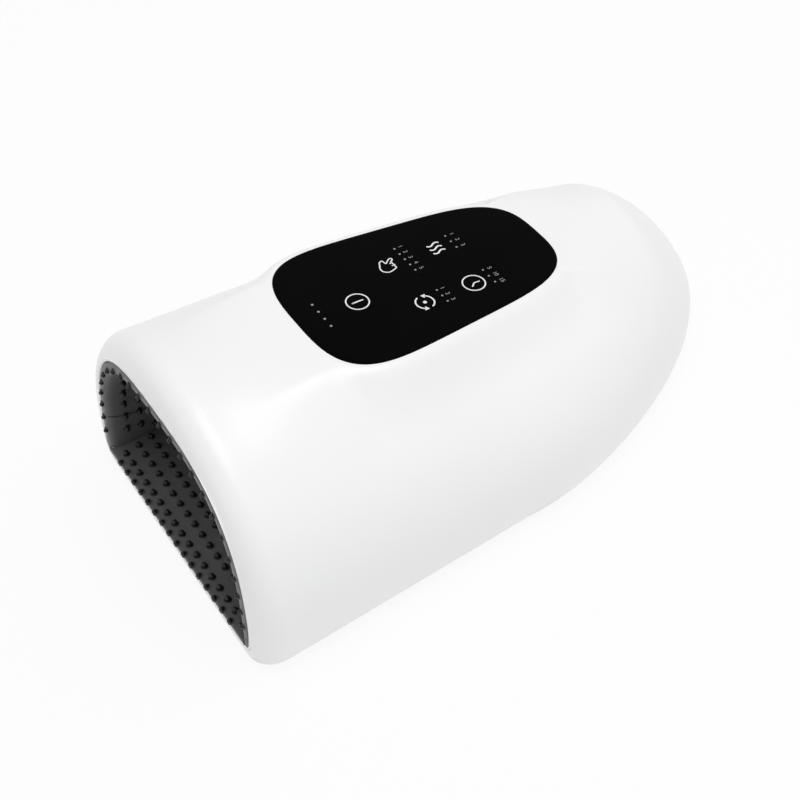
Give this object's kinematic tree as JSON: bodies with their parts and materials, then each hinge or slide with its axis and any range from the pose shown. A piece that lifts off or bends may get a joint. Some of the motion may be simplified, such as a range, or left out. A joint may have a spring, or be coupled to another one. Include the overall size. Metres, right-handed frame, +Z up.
{
  "type": "hand massager",
  "caption": "Arched table-top hand massager with a studded soft cavity for the hand, an air-driven pressure pad above it and a touch panel on its sloping roof.",
  "frame": {"origin": "on the table under the middle of the part, at the feet's underside", "axes": "+Z up, the mouth for the hand faces -Y, the nose points to +Y, and +X runs across the width"},
  "size_m": [0.1448, 0.249, 0.0952],
  "materials": {
    "white_shell": "satin gloss injection-moulded plastic",
    "white_plastic": "plain moulded plastic",
    "black_lens": "glossy black touch surface",
    "dark_liner": "matt dark grey silicone with studs",
    "grey_rubber": "matt rubber",
    "steel": "plain steel",
    "heater_film": "amber film",
    "airbag_film": "welded film",
    "circuit_board": "green laminate",
    "lamp_resin": "clear resin",
    "battery_wrap": "shrink wrap",
    "black_plastic": "moulded plastic",
    "magnet": "ferrite",
    "bronze": "sintered bronze",
    "copper": "enamelled copper winding",
    "silicone": "soft translucent hose"
  },
  "bodies": {
    "casing": {"upper_housing": "white_shell", "bottom_cover": "white_shell", "rubber_feet": "grey_rubber", "housing_screws": "steel", "inner_frame": "white_plastic", "frame_screws": "steel", "upper_liner": "dark_liner", "floor_mat": "dark_liner", "floor_heater": "heater_film", "airbag": "airbag_film", "bag_spout": "airbag_film", "touch_panel": "black_lens", "touch_board": "circuit_board", "indicator_lamps": "lamp_resin", "board_screws": "steel", "battery_pack": "battery_wrap", "main_board": "circuit_board", "board_parts": "black_plastic", "flex_cable": "heater_film", "motor_can": "steel", "motor_magnets": "magnet", "motor_bushes": "bronze", "pump_head": "black_plastic", "pump_diaphragm": "grey_rubber", "pump_cap": "black_plastic", "pump_bracket": "white_plastic", "valve_body": "steel", "valve_coil": "copper", "valve_spring": "steel", "air_hose": "silicone", "charge_socket": "steel", "socket_board": "circuit_board"},
    "pad": {"massage_plate": "white_plastic", "pad_heater": "heater_film", "massage_pad": "dark_liner"},
    "rotor": {"motor_rotor": "steel", "pump_cam": "black_plastic"},
    "plunger": {"valve_plunger": "steel"}
  },
  "joints": [
    {"name": "pad_press", "type": "slide", "parent": "casing", "child": "pad", "axis": [0, 0, -1], "range_m": [0, 0.012], "stiffness_N_per_m": 400, "springref_m": -0.004, "deforming": ["airbag"]},
    {"name": "pump_spin", "type": "hinge", "parent": "casing", "child": "rotor", "pos_m": [-0.009, 0.09862, 0.0205], "axis": [1, 0, 0], "continuous": true},
    {"name": "valve_slide", "type": "slide", "parent": "casing", "child": "plunger", "axis": [0, 0, -1], "range_m": [0, 0.0015], "stiffness_N_per_m": 120, "springref_m": -0.001, "deforming": ["valve_spring"]}
  ]
}
